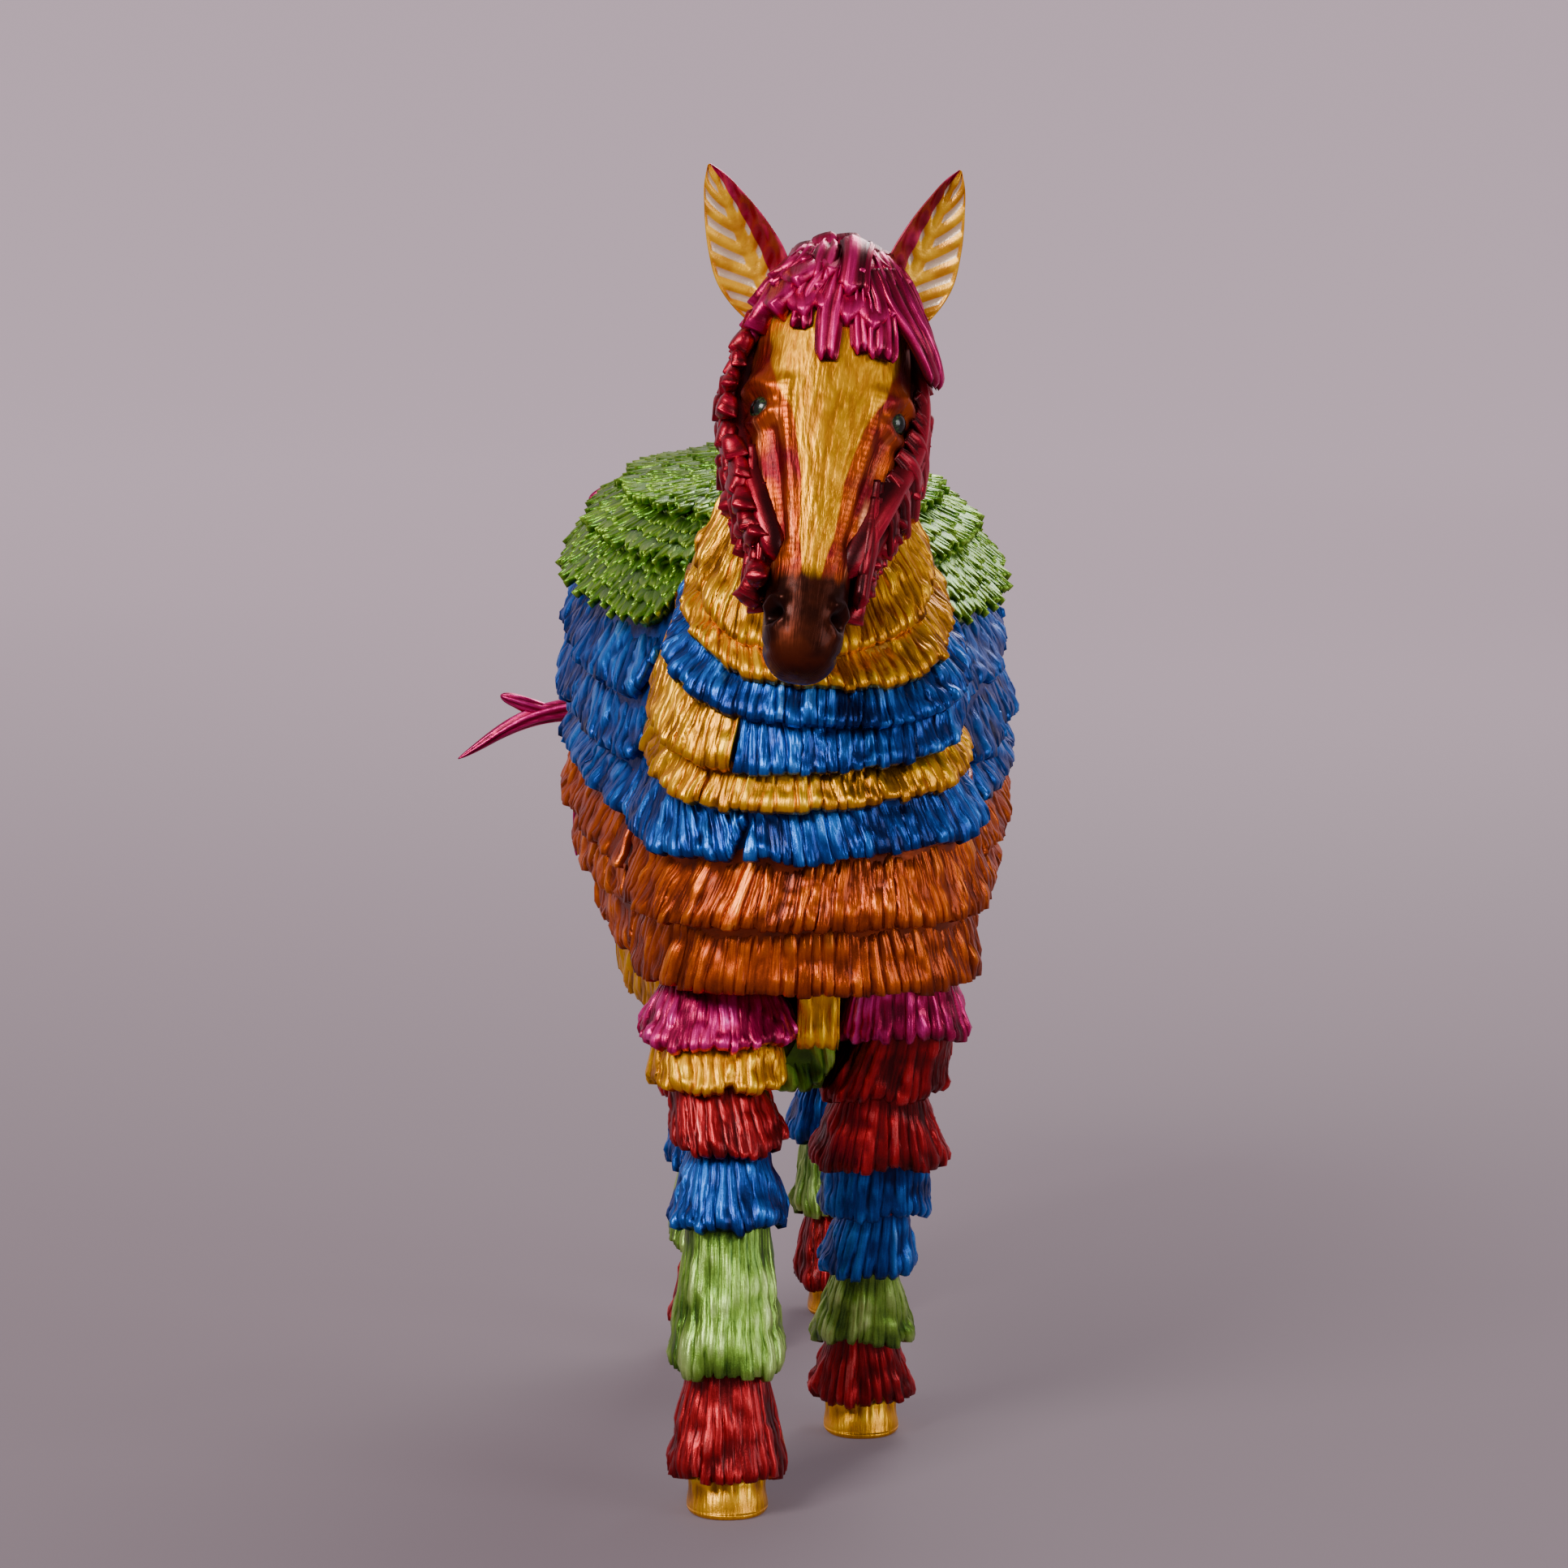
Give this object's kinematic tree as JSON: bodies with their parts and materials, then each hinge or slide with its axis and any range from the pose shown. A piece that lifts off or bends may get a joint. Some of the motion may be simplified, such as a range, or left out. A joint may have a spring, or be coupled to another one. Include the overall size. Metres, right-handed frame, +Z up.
{
  "type": "pinata figure",
  "caption": "Small standing horse figure dressed as a pinata, with overlapping rows of cut putty fringe in bright metallic paint over a hollow cast body.",
  "frame": {"origin": "middle of the bounding box's bottom face, on the plane that the four hooves stand on", "axes": "the horse faces -Y, +X is its left side, +Z is up"},
  "size_m": [0.0541, 0.1059, 0.1174],
  "materials": {
    "leaf_green": "metallic leaf-green paint on putty fringe",
    "cobalt_blue": "metallic cobalt-blue paint on putty fringe",
    "copper_orange": "metallic copper-orange paint on putty fringe",
    "marigold": "metallic marigold-yellow paint on putty fringe",
    "crimson": "metallic crimson paint on putty fringe",
    "magenta": "pearl magenta paint on putty fringe",
    "gilt": "gold paint on the hooves",
    "head_paint": "head painted marigold, copper and chestnut, with a glossy muzzle",
    "ear_paint": "ears crimson outside, marigold and cream inside",
    "eye_gloss": "dark high-gloss eyes",
    "cast_resin": "bare cast resin inside",
    "pin_steel": "drawn steel wire"
  },
  "bodies": {
    "root": {"back_green_cap": "leaf_green", "back_green_row_lower": "leaf_green", "back_green_row_upper": "leaf_green", "belly_green_row": "leaf_green", "belly_yellow_row": "marigold", "body_shell_left": "cast_resin", "body_shell_right": "cast_resin", "cheek_fringe_left": "crimson", "cheek_fringe_right": "crimson", "chest_blue_strips": "cobalt_blue", "chest_orange_strip_lower": "copper_orange", "chest_orange_strip_upper": "copper_orange", "chest_yellow_strip": "marigold", "ear_left": "ear_paint", "ear_right": "ear_paint", "eyes": "eye_gloss", "flank_blue_row_lower": "cobalt_blue", "flank_blue_row_middle": "cobalt_blue", "flank_blue_row_upper": "cobalt_blue", "flank_orange_row_lower": "copper_orange", "flank_orange_row_middle": "copper_orange", "flank_orange_row_upper": "copper_orange", "fore_left_blue_fringe": "cobalt_blue", "fore_left_green_fringe": "leaf_green", "fore_left_hoof": "gilt", "fore_left_leg_core": "cast_resin", "fore_left_pink_cuff": "magenta", "fore_left_red_fringe": "crimson", "fore_right_blue_fringe": "cobalt_blue", "fore_right_green_fringe": "leaf_green", "fore_right_hoof": "gilt", "fore_right_leg_core": "cast_resin", "fore_right_pink_cuff": "magenta", "fore_right_red_fringe": "crimson", "fore_right_yellow_cuff": "marigold", "forelock": "magenta", "head": "head_paint", "hind_left_blue_fringe": "cobalt_blue", "hind_left_green_fringe": "leaf_green", "hind_left_hoof": "gilt", "hind_left_leg_core": "cast_resin", "hind_left_pink_cuff": "magenta", "hind_left_red_fringe": "crimson", "hind_right_blue_fringe": "cobalt_blue", "hind_right_green_fringe": "leaf_green", "hind_right_hoof": "gilt", "hind_right_leg_core": "cast_resin", "hind_right_pink_cuff": "magenta", "hind_right_red_fringe": "crimson", "leg_pins": "pin_steel", "mane": "magenta", "neck_blue_strip_lower": "cobalt_blue", "neck_blue_strip_upper": "cobalt_blue", "neck_core": "cast_resin", "neck_pin": "pin_steel", "neck_yellow_side_strips": "marigold", "neck_yellow_strip_lower": "marigold", "neck_yellow_strip_upper": "marigold", "tail_core": "magenta", "tail_fringe": "magenta"}
  },
  "joints": []
}
